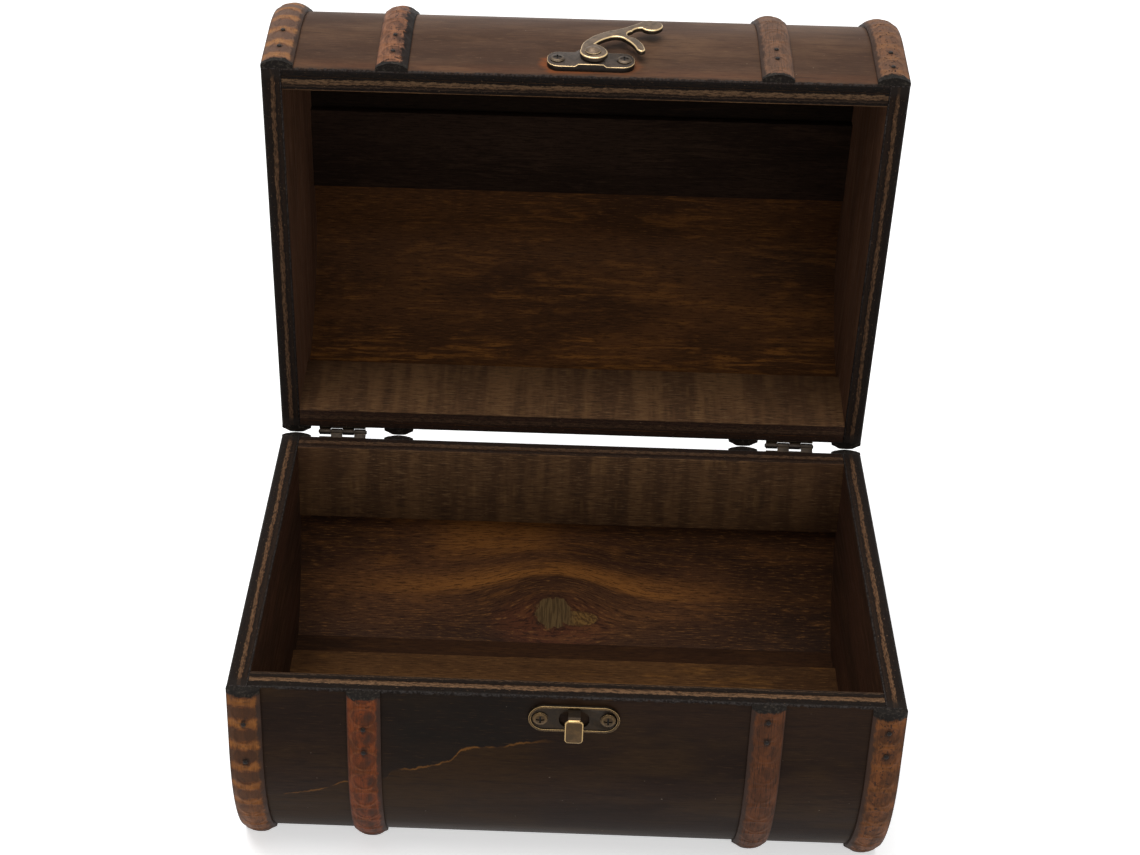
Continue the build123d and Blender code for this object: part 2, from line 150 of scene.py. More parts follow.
def ramp(value, stops):
    node = addNode("ShaderNodeValToRGB")
    feed(value, node.inputs[0])
    elements = node.color_ramp.elements
    elements.remove(elements[1])
    elements[0].position, elements[0].color = stops[0]
    for place, colour in stops[1:]:
        elements.new(place).color = colour
    return node.outputs[0]


def cloud(coords, scale, shift=(0, 0, 0), detail=3, roughness=0.5, warp=0.0):
    # Soft noise. With three scales it is drawn out along the axes.
    node = addNode("ShaderNodeTexNoise")
    if isinstance(scale, tuple):
        stretch = addNode("ShaderNodeMapping")
        feed(coords, stretch.inputs[0])
        stretch.inputs["Location"].default_value = shift
        stretch.inputs["Scale"].default_value = scale
        coords, scale = stretch.outputs[0], 1
    feed(coords, node.inputs["Vector"])
    for name, value in (("Scale", scale), ("Detail", detail), ("Roughness", roughness), ("Distortion", warp)):
        node.inputs[name].default_value = value
    return node.outputs[0]


def parts(coords):
    node = addNode("ShaderNodeSeparateXYZ")
    feed(coords, node.inputs[0])
    return node.outputs


def joined(x, y, z):
    node = addNode("ShaderNodeCombineXYZ")
    for value, socket in zip((x, y, z), node.inputs):
        feed(value, socket)
    return node.outputs[0]


def carried(name):
    # A value that the mesh's own points carry
    return addNode("ShaderNodeAttribute", attribute_name=name).outputs["Fac"]


def startTree(owner):
    owner.use_nodes = True
    owner.node_tree.nodes.clear()
    drawing["tree"] = owner.node_tree


def startMaterial(name):
    material = bpy.data.materials.new(name)
    startTree(material)
    surface = addNode("ShaderNodeBsdfPrincipled")
    feed(surface.outputs[0], addNode("ShaderNodeOutputMaterial").inputs[0])
    return material, surface


def finishSurface(surface, colour, roughness, height, strength, distance=0.0002, metal=0.0, gloss=0.5):
    feed(colour, surface.inputs["Base Color"])
    feed(roughness, surface.inputs["Roughness"])
    surface.inputs["Metallic"].default_value = metal
    surface.inputs["Specular IOR Level"].default_value = gloss
    bump = addNode("ShaderNodeBump")
    bump.inputs["Strength"].default_value = strength
    bump.inputs["Distance"].default_value = distance
    feed(height, bump.inputs["Height"])
    feed(bump.outputs[0], surface.inputs["Normal"])


def frameCoords(frameName):
    # The place in millimetres in the base's or the lid's own frame
    node = addNode("ShaderNodeMapping", vector_type="TEXTURE")
    feed(addNode("ShaderNodeTexCoord").outputs["Object"], node.inputs[0])
    node.inputs["Scale"].default_value = (millimetre,) * 3
    if frameName == "lid":
        node.inputs["Location"].default_value = lidPlace
        node.inputs["Rotation"].default_value = (lidLean, 0, 0)
    return node.outputs[0]


# Wood grain: each noise has its scale along and across the grain, detail, roughness and warp
grains = dict(
    tint=(0.011, 0.04, 3, 0.5, 0.5), flame=(0.042, 0.42, 5, 0.62, 0.5), fibre=(0.18, 2.0, 4, 0.7, 0.2),
    fleck=(0.7, 2.6, 2, 0.6, 0.0),
)
grainStarts = {("outside", "base"): 11, ("outside", "lid"): 53, ("inside", "base"): 23, ("inside", "lid"): 71}
grainStep = 7


def grainPlace(frameName, lie):
    # Millimetres along the grain, across it, and through the board
    x, y, up = parts(frameCoords(frameName))
    if lie == "panel":
        return joined(x, carried("along"), 0.0)
    if lie == "end":
        return joined(y, up, x)
    return joined(x, y, up)


def grainOf(place, start):
    # Broad tints, flames, short fibres and flecks, all drawn out along the grain
    return [cloud(place, (long, short, short), (start + number * grainStep, 0, 0), *rest)
            for number, (long, short, *rest) in enumerate(grains.values())]


def woodLooks(names, **rows):
    # One row of tones for each kind of board
    return {key: dict(zip(names.split(), tones)) for key, tones in rows.items()}


# Outside: dark stain, with the wavy rubbed line of the base's front and the bare wood round the latch
outsideLooks = woodLooks(
    "dark warm light fibre lit",
    base=((34, 23, 17), (42, 28, 19), (54, 38, 22), (25, 17, 13), (68, 49, 31)),
    lid=((68, 49, 38), (82, 60, 46), (100, 75, 56), (56, 41, 33), (116, 90, 66)),
    end=((40, 27, 19), (51, 34, 22), (64, 44, 27), (28, 19, 14), (80, 58, 36)),
)
outsideWear = dict(
    arrisDark=(22, 18, 16), arrisGrey=(54, 50, 48), dust=(132, 118, 104), chipDepth=2.2, gloss=0.04,
)
rubLine = dict(
    path=((-110, 49), (-97, 48.3), (-78, 43), (-74, 40.2), (-59.4, 37.7), (-55.6, 33), (-48.8, 32),
          (-40.5, 29.2), (-36.8, 27.5), (-32.3, 22.5), (-22.6, 21.6), (-13, 19.3), (0, 18)),
    fromX=-110.0, span=140.0, depth=60.0, sway=2.4,
    tone=(118, 78, 36), below=(48, 32, 16), above=(22, 19, 16),
    ends=(-16, 0), frontOnly=(-30, -20), sootStarts=(-72, -50), sootEnds=(-12, 6),
)
latchGlow = dict(
    x=2.0, up=8.0, halfLength=11.0, near=4.3, far=7.8, sway=5.0, strength=0.62, tone=(140, 76, 38),
)


def rubbedFront(colour, x, y, place, blush):
    # Sooty above the line and left of the keeper, paler below it, bare along it
    line = addNode("ShaderNodeFloatCurve")
    curve = line.mapping.curves[0]
    for number, (spot, depth) in enumerate(rubLine["path"]):
        at = (spot - rubLine["fromX"]) / rubLine["span"], depth / rubLine["depth"]
        if number < 2:
            curve.points[number].location = at
        else:
            curve.points.new(*at)
    line.mapping.update()
    share = sums("DIVIDE", minus(x, rubLine["fromX"]), rubLine["span"], clamp=True)
    feed(share, line.inputs["Value"])
    below = minus(parts(place)[1], times(line.outputs[0], rubLine["depth"]))
    below = swayed(below, cloud(place, (0.35, 0.1, 1), roughness=0.6), rubLine["sway"])
    here = times(between(x, *rubLine["ends"], 1, 0), between(y, *rubLine["frontOnly"], 1, 0))
    soot = times(between(x, *rubLine["sootStarts"]), between(below, -1, 0.3, 1, 0),
                 between(x, *rubLine["sootEnds"], 1, 0), here, between(blush, 0.3, 0.55, 0.95, 0.7))
    colour = mixed(soot, colour, rubLine["above"])
    paler = times(between(below, -0.3, 0.6), between(below, 6, 34, 0.8, 0.36), here)
    colour = mixed(paler, colour, rubLine["below"])
    thick = cloud(place, (0.12, 0.02, 1), (9, 0, 0), 2)
    edge = between(off(below), 0.05, sums("MULTIPLY_ADD", thick, 2.4, -0.65), 1, 0)
    bare = times(edge, between(thick, 0.4, 0.56, 0, 0.85), here)
    return mixed(bare, colour, rubLine["tone"])


def bareAtLatch(colour, x, fromRim, place):
    # The stain is worn off round the latch plate, more at its left end.
    # Nothing keeps this to the front, so the lid's back panel shows the same patch.
    aside = larger(minus(off(x, latchGlow["x"]), latchGlow["halfLength"]), 0.0)
    chafe = cloud(place, (0.12, 0.5, 0.5), (60, 0, 0), roughness=0.6)
    away = swayed(apart(aside, minus(fromRim, latchGlow["up"])), chafe, latchGlow["sway"])
    glow = times(between(away, latchGlow["near"], latchGlow["far"], latchGlow["strength"], 0),
                 between(x, -6, 14, 1, 0.5))
    glow = larger(glow, between(fromRim, 2, 9, 0.1, 0))
    return mixed(times(glow, between(fromRim, 0.8, 2.2)), colour, latchGlow["tone"])


def outsideWood(frameName, lie):
    look = outsideLooks["end" if lie == "end" else frameName]
    material, surface = startMaterial(f"outside_wood_{frameName}_{lie}")
    coords = frameCoords(frameName)
    x, y, up = parts(coords)
    place = grainPlace(frameName, lie)
    tint, flame, fibre = grainOf(place, grainStarts["outside", frameName])[:3]
    blush = cloud(place, (0.02, 0.05, 0.05), (40, 0, 0), 3, 0.6, 0.3)
    colour = mixed(between(tint, 0.4, 0.62), look["dark"], look["warm"])
    colour = mixed(between(blush, 0.46, 0.68, 0, 0.6), colour, look["light"])
    fromRim = up
    if frameName == "base":
        fromRim = minus(float(rimUps["base"]), up)
    if (frameName, lie) == ("base", "panel"):
        colour = rubbedFront(colour, x, y, place, blush)
    if (frameName, lie) == ("lid", "panel"):
        colour = bareAtLatch(colour, x, fromRim, place)
    colour = mixed(between(flame, 0.46, 0.7, 0, 0.5), colour, look["fibre"])
    colour = mixed(between(fibre, 0.48, 0.7, 0, 0.6), colour, look["fibre"])
    colour = mixed(between(fibre, 0.44, 0.28, 0, 0.5), colour, look["lit"])
    # the arris at the rim is rubbed to a cool grey with chipped edges
    chips = cloud(coords, (0.5, 0.5, 0.9), detail=4, roughness=0.65)
    reach = sums("MULTIPLY_ADD", chips, outsideWear["chipDepth"], -0.5)
    arris = between(minus(fromRim, reach), -0.3, 0.2, 0.9, 0)
    grit = cloud(coords, 1.3, roughness=0.7)
    grey = mixed(between(grit, 0.42, 0.6), outsideWear["arrisDark"], outsideWear["arrisGrey"])
    colour = mixed(arris, colour, grey)
    dust = between(cloud(coords, 0.8, detail=1), 0.79, 0.82, 0, 0.7)
    colour = mixed(dust, colour, outsideWear["dust"])
    height = times(plus(flame, fibre), 0.6)
    roughness = between(tint, 0.3, 0.7, 0.55, 0.42)
    finishSurface(surface, colour, roughness, height, 0.4, gloss=outsideWear["gloss"])
    return material


# Inside: stained dark brown, amber where the stain is thin. The foot, crown and ridge rows are painted shade:
# dark tones for the bottom board low in the base, and for the lid's crown and the strip under it, which lie
# in shadow.
insideLooks = woodLooks(
    "dark brown amber fibre lit",
    base=((60, 37, 23), (82, 52, 31), (138, 88, 40), (33, 21, 14), (132, 89, 47)),
    lid=((69, 43, 24), (92, 58, 31), (132, 84, 38), (42, 26, 15), (118, 77, 38)),
    end=((47, 31, 22), (61, 39, 28), (72, 47, 32), (37, 25, 18), (81, 57, 42)),
    lidEnd=((76, 52, 38), (96, 67, 50), (108, 76, 56), (60, 42, 31), (120, 88, 66)),
    foot=((40, 25, 16), (50, 31, 19), (60, 38, 22), (30, 19, 13), (70, 46, 28)),
    floor=((64, 42, 25), (82, 55, 32), (108, 72, 36), (44, 29, 18), (116, 82, 47)),
    crown=((25, 19, 15), (31, 23, 17), (36, 26, 19), (20, 15, 12), (36, 28, 21)),
    ridge=((36, 26, 20), (44, 32, 25), (52, 38, 29), (28, 21, 16), (54, 41, 32)),
)
insideGloss = dict(crown=0.0, ridge=0.0)
plainGloss = 0.05
knotSpot = dict(
    x=-4.6, along=72.0, reach=25.0, push=11.0, archMiddle=-22.0, shadeMiddle=-8.0,
    eye=(7.6, 6.8), tail=(8.5, 3.4), tailPlace=(9.5, -2.2), red=(84, 46, 28), outline=(42, 29, 19),
    heart=((70, 53, 32), (92, 72, 44)), streaks=((72, 50, 26), (112, 82, 42)),
)


def grainOverKnot(place, knot):
    # The grain rises over the knot and closes again above and below it
    u, v, depth = parts(place)
    du = minus(u, knot["x"])
    dv = minus(knot["along"], v)
    hump = sums("EXPONENT", times(sums("POWER", divided(du, knot["reach"]), 2.0), -1.0))
    lift = times(hump, knot["push"], between(dv, -16, 10, -0.4, 1), between(dv, 10, 42, 1, 0.1))
    return joined(u, plus(v, lift), depth), du, dv, minus(dv, lift)


def stainOverKnot(colour, amber, flame, fibreTone, knot, du, dv, lifted):
    # An amber arch with a sharp lower edge, a softer one under the liner, painted shade at the sides, low
    # down and in a band below the liner, and a reddish ground
    aside = off(du, knot["archMiddle"])
    arch = times(between(lifted, 4.5, 7.5), between(lifted, 8, 19, 1, 0), between(off(du), 18, 84, 1, 0.3))
    upper = times(between(lifted, 18, 24), between(aside, 10, 34, 0.7, 0))
    arch = times(larger(arch, upper), between(flame, 0.36, 0.54, 0.35, 1))
    # painted shade: darker at the sides, low down and in a band below the liner; it darkens the wood and
    # mutes the amber
    shade = larger(between(off(du, knot["shadeMiddle"]), 50, 100), between(lifted, 1, -16, 0, 0.7),
                   times(between(dv, 14, 30), between(aside, 20, 60)))
    amber = times(larger(times(amber, 0.4), arch), sums("MULTIPLY_ADD", shade, -0.6, 1.0))
    colour = mixed(times(shade, 0.6), colour, fibreTone)
    red = between(apart(du, times(plus(dv, 5.0), 2.0)), 12, 30, 0.7, 0)
    return mixed(red, colour, knot["red"]), amber


def drawnKnot(colour, fleck, knot, du, dv):
    # An eye with a streaked heart, and its tail to the right
    flat = joined(du, dv, 0.0)
    (eyeU, eyeV), (tailU, tailV), (tailX, tailY) = knot["eye"], knot["tail"], knot["tailPlace"]
    eye = apart(divided(du, eyeU), divided(dv, eyeV))
    tail = apart(divided(minus(du, tailX), tailU), divided(minus(dv, tailY), tailV))
    shape = swayed(smaller(eye, tail), cloud(flat, (0.3, 0.3, 1), roughness=0.6), 1.0)
    threads = cloud(flat, (1.3, 0.12, 1), detail=2)
    heart = mixed(between(threads, 0.42, 0.58), *knot["heart"])
    streaks = mixed(between(fleck, 0.4, 0.6), *knot["streaks"])
    heart = mixed(between(du, 5, 10), heart, streaks)
    colour = mixed(between(shape, 0.86, 0.94, 1, 0), colour, heart)
    return mixed(between(off(shape, 1.0), 0.02, 0.12, 0.5, 0), colour, knot["outline"])


def insideWood(frameName, lie, knot=None, lookName=None):
    look = insideLooks[lookName or frameName]
    name = "_".join(["inside_wood", frameName, lookName or "plain", lie] + ["knot"] * bool(knot))
    material, surface = startMaterial(name)
    place = grainPlace(frameName, lie)
    if knot:
        place, du, dv, lifted = grainOverKnot(place, knot)
    tint, flame, fibre, fleck = grainOf(place, grainStarts["inside", frameName])
    colour = mixed(between(tint, 0.38, 0.6), look["dark"], look["brown"])
    patch = cloud(place, (0.03, 0.06, 0.06), (90, 0, 0), 4, 0.65, 0.3)
    amber = times(between(flame, 0.46, 0.6), between(patch, 0.44, 0.6))
    if lookName is None:
        # amber where the stain is thin near the liner; towards the lid's crown and the base's floor the amber
        # fades and the wood darkens: painted shade
        rise = parts(place)[1]
        amber = times(amber, between(rise, 44, 100, 1, 0.45))
        colour = mixed(between(rise, 60, 112, 0, 0.5), colour, look["fibre"])
    if knot:
        colour, amber = stainOverKnot(colour, amber, flame, look["fibre"], knot, du, dv, lifted)
    colour = mixed(times(amber, 0.85), colour, look["amber"])
    colour = mixed(between(fibre, 0.51, 0.62, 0, 0.75), colour, look["fibre"])
    colour = mixed(between(fibre, 0.44, 0.34, 0, 0.6), colour, look["lit"])
    colour = mixed(between(fleck, 0.58, 0.7, 0, 0.5), colour, look["fibre"])
    if knot:
        colour = drawnKnot(colour, fleck, knot, du, dv)
    height = plus(flame, times(fibre, 0.8))
    roughness = between(flame, 0.3, 0.7, 0.62, 0.5)
    finishSurface(surface, colour, roughness, height, 0.4, gloss=insideGloss.get(lookName, plainGloss))
    return material


# Liners: rough sawn strips with the saw's ripples across the grain
linerLook = dict(
    dark=(70, 49, 33), light=(92, 66, 43), crest=(116, 86, 53), trough=(44, 33, 25), fibre=(44, 33, 25),
    lit=(122, 94, 64), ends=(62, 41, 26), flame=(52, 38, 29),
    # lift: the lid's liner is painted lighter, as it faces the light another way
    lift=dict(base=1.0, lid=1.12), middle=-6.0, start=31,
)


def linerWood(frameName):
    look = linerLook
    material, surface = startMaterial("liner_wood_" + frameName)
    coords = frameCoords(frameName)
    tint, flame, fibre = grainOf(coords, look["start"])[:3]
    bands = cloud(coords, (0.13, 0, 0.014), (5, 0, 0), 3, 0.55)
    ripples = cloud(coords, (0.4, 0, 0.03), (9, 0, 0), 1)
    where = cloud(coords, (0.03, 0, 0.09), (2, 0, 0), 2)
    # the lid's tones are lifted: painted light
    ground = [tuple(value * look["lift"][frameName] for value in look[key]) for key in ("dark", "light")]
    colour = mixed(between(bands, 0.38, 0.64), *ground)
    shown = between(where, 0.48, 0.66, 0, 0.3)
    colour = mixed(times(between(ripples, 0.5, 0.62), shown), colour, look["crest"])
    colour = mixed(times(between(ripples, 0.46, 0.36), shown), colour, look["trough"])
    colour = mixed(between(fibre, 0.51, 0.62, 0, 0.7), colour, look["fibre"])
    colour = mixed(between(fibre, 0.45, 0.35, 0, 0.65), colour, look["lit"])
    ends = between(off(parts(coords)[0], look["middle"]), 66, 100)
    colour = mixed(times(ends, between(tint, 0.35, 0.6, 0.1, 0.6)), colour, look["ends"])
    colour = mixed(between(flame, 0.56, 0.72, 0, 0.35), colour, look["flame"])
    height = plus(times(ripples, 0.5), times(fibre, 0.9))
    roughness = between(bands, 0.3, 0.7, 0.68, 0.56)
    finishSurface(surface, colour, roughness, height, 0.6, 0.0003, gloss=plainGloss)
    return material


# Rims: rubbed plies between dark ones. Each stop is a share of the wall from its outer face, and its colour.
rimPlies = dict(
    base=((0.0, 56, 54, 52), (0.1, 44, 41, 38), (0.14, 26, 22, 20), (0.36, 30, 24, 20), (0.4, 136, 104, 76),
          (0.6, 122, 90, 64), (0.64, 24, 19, 16), (0.82, 34, 26, 21), (0.87, 96, 74, 56), (0.91, 34, 26, 21)),
    lid=((0.0, 46, 47, 50), (0.08, 34, 32, 32), (0.2, 26, 23, 21), (0.45, 24, 20, 18), (0.49, 140, 108, 79),
         (0.66, 130, 98, 71), (0.7, 26, 20, 17), (0.79, 84, 64, 50), (0.83, 24, 19, 16), (0.92, 28, 21, 18),
         (0.96, 90, 70, 56)),
    end=((0.0, 52, 50, 48), (0.1, 38, 34, 31), (0.24, 32, 26, 23), (0.42, 38, 29, 23), (0.46, 124, 92, 66),
         (0.62, 112, 80, 56), (0.66, 30, 23, 19), (0.84, 52, 38, 29), (0.9, 34, 25, 20)),
)
rimLook = dict(
    shade=dict(base=0.86, lid=0.76), backKept=dict(base=0.45, lid=0.75), kept=(58, 39, 29), grit=(34, 26, 21),
    fibre=(32, 25, 21), lightest=(150, 118, 90), corner=(36, 31, 28), sway=1.6, gloss=0.04,
)


def rimWood(frameName, isEnd):
    look = rimLook
    shade = look["shade"][frameName]
    material, surface = startMaterial("rim_wood_" + frameName + ("_end" if isEnd else "_wall"))
    coords = frameCoords(frameName)
    x, y, up = parts(coords)
    outerFace, wall = ("halfWidth", "endBoard") if isEnd else ("halfDepth", "wallAtRim")
    place = joined(y, x, up) if isEnd else coords
    across = minus(float(chest[outerFace]), off(x if isEnd else y))
    across = swayed(across, cloud(place, (0.04, 0.25, 0.25), roughness=0.6), look["sway"])
    across = swayed(across, cloud(place, (0.5, 0.4, 0.4), (6, 0, 0), roughness=0.7), look["sway"])
    fibres = cloud(place, (0.4, 3.0, 3.0), detail=4, roughness=0.7)
    rough = cloud(place, (0.9, 1.4, 1.4), (4, 2, 0), roughness=0.6)
    plies = rimPlies["end" if isEnd else frameName]
    stops = [(spot, tone(*[value * shade for value in rgb])) for spot, *rgb in plies]
    colour = ramp(divided(across, chest[wall]), stops)
    if not isEnd:
        # the back rims kept their stain
        colour = mixed(between(y, -5, 5, 0, look["backKept"][frameName]), colour, look["kept"])
    grit = cloud(place, (0.4, 1.8, 1.8), (7, 0, 0), 4, 0.75)
    colour = mixed(between(grit, 0.48, 0.56, 0, 0.75), colour, look["grit"])
    colour = mixed(between(fibres, 0.5, 0.68, 0, 0.6), colour, look["fibre"])
    lightest = times(between(rough, 0.58, 0.7, 0, 0.8 * shade), between(grit, 0.5, 0.4))
    colour = mixed(lightest, colour, mixed(0.6, colour, look["lightest"]))
    if isEnd:
        along = minus(float(chest["halfDepth"]), off(y))
        corner = between(along, 2.5, 5.5, 0.85, 0)
        colour = mixed(corner, colour, look["corner"])
    height = plus(fibres, times(rough, 0.7))
    finishSurface(surface, colour, 0.7, height, 0.7, 0.0003, gloss=look["gloss"])
    return material


# Making pieces

def trace(run, step):
    # Stations down a wall: distance from the rim, point and heading in the section
    outward, up = run["start"]
    heading = radians(run["heading"])
    distance = 0.0
    stations = [(distance, outward, up, heading)]
    for move in run["runs"]:
        length = move[0] if len(move) == 1 else move[0] * radians(move[1])
        count = max(1, ceil(length / step))
        turn = 0 if len(move) == 1 else run["bend"] * radians(move[1]) / count
        for number in range(count):
            chord = length / count if not turn else 2 * move[0] * sin(abs(turn) / 2)
            outward += chord * cos(heading + turn / 2)
            up += chord * sin(heading + turn / 2)
            heading += turn
            distance += length / count
            stations.append((distance, outward, up, heading))
    return stations


def stationPlace(frameName, side, station):
    # Across the wall along x, out from its face, and on along the run
    distance, outward, up, heading = station
    normal = heading - wallRuns[frameName]["bend"] * pi / 2
    place = Matrix((
        (1, 0, 0, 0),
        (0, side * cos(normal), side * cos(heading), side * outward),
        (0, sin(normal), sin(heading), up),
        (0, 0, 0, 1),
    ))
    return frames[frameName] @ place


def sweepAlong(bm, profile, places, shape=None):
    # Pushes a closed profile through the places. The points keep their corner, distance and place across.
    corner = bm.verts.layers.int.new("corner")
    along = bm.verts.layers.float.new("along")
    across = bm.verts.layers.float.new("across")

    def settle(vert, distance, place):
        x, height = profile[vert[corner]]
        if shape:
            x, height = shape(distance, x, height)
        vert.co = place @ Vector((x, height, 0))
        vert[along] = distance
        vert[across] = profile[vert[corner]][0]

    verts = [bm.verts.new() for point in profile]
    for number, vert in enumerate(verts):
        vert[corner] = number
        settle(vert, *places[0])
    face = bm.faces.new(verts)
    for distance, place in places[1:]:
        grown = bmesh.ops.extrude_face_region(bm, geom=[face])["geom"]
        for vert in (item for item in grown if isinstance(item, bmesh.types.BMVert)):
            settle(vert, distance, place)
        face = next(item for item in grown if isinstance(item, bmesh.types.BMFace))


def cutAtGround(bm):
    # Cuts off what reaches below the underside, and closes the cut
    bmesh.ops.bisect_plane(bm, geom=bm.verts[:] + bm.edges[:] + bm.faces[:], plane_co=(0, 0, 0),
                           plane_no=(0, 0, -1), clear_outer=True)
    bmesh.ops.holes_fill(bm, edges=[edge for edge in bm.edges if edge.is_boundary])


def softenEdges(bm, edges, width, segments=2, clamp=True):
    made = bmesh.ops.bevel(bm, geom=list(edges), offset=width, offset_type="OFFSET", affect="EDGES",
                           segments=segments, profile=0.5, material=-1, clamp_overlap=clamp)
    return made["faces"]


def sharpEdges(bm, angle):
    pairs = (edge for edge in bm.edges if len(edge.link_faces) == 2)
    return [edge for edge in pairs if edge.calc_face_angle(0) > radians(angle)]


def makePiece(name, bm, body, slotName, materials, replaced, sharp=32, pick=None):
    bmesh.ops.recalc_face_normals(bm, faces=bm.faces)
    mesh = bpy.data.meshes.new(name)
    if pick:
        for face in bm.faces:
            face.material_index = pick(face)
    bm.to_mesh(mesh)
    bm.free()
    for material in materials:
        mesh.materials.append(material)
    mesh.shade_smooth()
    mesh.set_sharp_from_angle(angle=radians(sharp))
    piece = bpy.data.objects.new(name, mesh)
    scene.collection.objects.link(piece)
    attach(piece, body)
    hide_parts(replaced)


def inFrame(frameName, point):
    # Back from metres in the row's frame to millimetres in the base's or the lid's
    return frames[frameName].inverted() @ point


def atRim(face, frameName):
    return abs(inFrame(frameName, face.calc_center_median()).z - rimUps[frameName]) < 0.02


def isLevel(face, frameName):
    # Whether a face lies flat in its frame
    return abs((frames[frameName].to_3x3().normalized().inverted() @ face.normal).z) > 0.9


def lengthwise(bm):
    return [edge for edge in bm.edges if abs(edge.verts[0].co.x - edge.verts[1].co.x) > 1]


# Bent panels

outsideWoods = {(name, lie): outsideWood(name, lie) for name in frames for lie in ("panel", "end")}
insideWoods = {(name, "panel"): insideWood(name, "panel") for name in frames}
insideWoods["base", "end"] = insideWood("base", "end", lookName="end")
insideWoods["lid", "end"] = insideWood("lid", "end", lookName="lidEnd")
# The bottom board and the strip under the lid's crown take painted-shade tones
boardWoods = dict(
    base_bottom_board=insideWood("base", "board", lookName="foot"),
    base_floor_board=insideWood("base", "board", lookName="floor"),
    lid_ridge_strip=insideWood("lid", "board", lookName="ridge"),
)
ownInsides = {
    # painted shade: the inside of the lid's front panel, up at the crown
    ("lid", "front"): insideWood("lid", "panel", lookName="crown"),
    ("base", "back"): insideWood("base", "panel", knotSpot),
}
rimWoods = {(name, isEnd): rimWood(name, isEnd) for name in frames for isEnd in (False, True)}
linerWoods = {name: linerWood(name) for name in frames}
panel = dict(step=1.6, arris=0.7, footOverrun=9.0)


def bentPanel(frameName, sideName):
    thick = chest[frameName + "Panel"]
    bm = bmesh.new()
    stations = trace(wallRuns[frameName], panel["step"])
    if frameName == "base":
        # on below the ground, where it is cut off level
        distance, outward, up, heading = stations[-1]
        more = panel["footOverrun"]
        stations.append((distance + more, outward + more * cos(heading), up + more * sin(heading), heading))
    profile = [(-innerHalfWidth, -thick), (innerHalfWidth, -thick), (innerHalfWidth, 0), (-innerHalfWidth, 0)]
    sweepAlong(bm, profile, [(s[0], stationPlace(frameName, sides[sideName], s)) for s in stations])
    if frameName == "base":
        cutAtGround(bm)
    along = bm.verts.layers.float["along"]
    corner = bm.verts.layers.int["corner"]
    softenEdges(bm, [edge for edge in bm.edges if all(
        vert[along] == 0 and vert[corner] in (2, 3) for vert in edge.verts)], panel["arris"] * millimetre, 3)

    def pick(face):
        # the inside is 1, the rim 2, the rest the outside
        if atRim(face, frameName) and isLevel(face, frameName):
            return 2
        if abs(inFrame(frameName, face.calc_center_median()).x) > innerHalfWidth - 0.01:
            return 0
        return 1 if {vert[corner] for vert in face.verts} <= {0, 1} else 0

    inside = ownInsides.get((frameName, sideName), insideWoods[frameName, "panel"])
    name = f"{frameName}_{sideName}_panel"
    woods = [outsideWoods[frameName, "panel"], inside, rimWoods[frameName, False]]
    makePiece(name + "_wood", bm, frameName, "shell_wood", woods, name, pick=pick)


for frameName in frames:
    for sideName in sides:
        bentPanel(frameName, sideName)
print("Bent panels made")

# End boards: the whole cross-section, filled and pushed through the board's thickness
endLook = dict(step=2.0, arris=0.6)


def endBoard(frameName, endName):
    end = -1 if endName == "left" else 1
    bm = bmesh.new()
    stations = trace(wallRuns[frameName], endLook["step"])
    if frameName == "base":
        stations[-1] = (*stations[-1][:2], 0.0, stations[-1][3])
    right = [(s[1], s[2]) for s in stations]
    left = [(-outward, up) for outward, up in reversed(right) if outward > 0.01]
    place = frames[frameName]
    verts = [bm.verts.new(place @ Vector((end * innerHalfWidth, *point))) for point in right + left]
    grown = bmesh.ops.extrude_face_region(bm, geom=[bm.faces.new(verts)])["geom"]
    bmesh.ops.translate(bm, verts=[v for v in grown if isinstance(v, bmesh.types.BMVert)],
                        vec=(end * chest["endBoard"] * millimetre, 0, 0))
    bmesh.ops.recalc_face_normals(bm, faces=bm.faces)
    outerFace = end * chest["halfWidth"] * millimetre
    edges = [edge for edge in sharpEdges(bm, 30) if all(
        abs(vert.co.x - outerFace) < 1e-6 for vert in edge.verts)]
    edges += [edge for edge in sharpEdges(bm, 60) if edge not in edges and all(
        abs(inFrame(frameName, vert.co).z - rimUps[frameName]) < 0.01 for vert in edge.verts)]
    softenEdges(bm, edges, endLook["arris"] * millimetre, 3)

    def pick(face):
        if atRim(face, frameName) and isLevel(face, frameName):
            return 2
        return 1 if abs(inFrame(frameName, face.calc_center_median()).x) < innerHalfWidth + 0.01 else 0

    name = f"{frameName}_end_{endName}"
    woods = [outsideWoods[frameName, "end"], insideWoods[frameName, "end"], rimWoods[frameName, True]]
    makePiece(name + "_wood", bm, frameName, "shell_wood", woods, name, pick=pick)


for frameName in frames:
    for endName in ("left", "right"):
        endBoard(frameName, endName)
print("End boards made")

# Liners: strips inside the rims, their faces slightly uneven from the saw
liner = dict(cuts=150, sawDepth=0.12, arris=0.5, setIn=0.15, marks=((0.55, 0.02, 1.0), (1.7, 0.05, 0.5)))


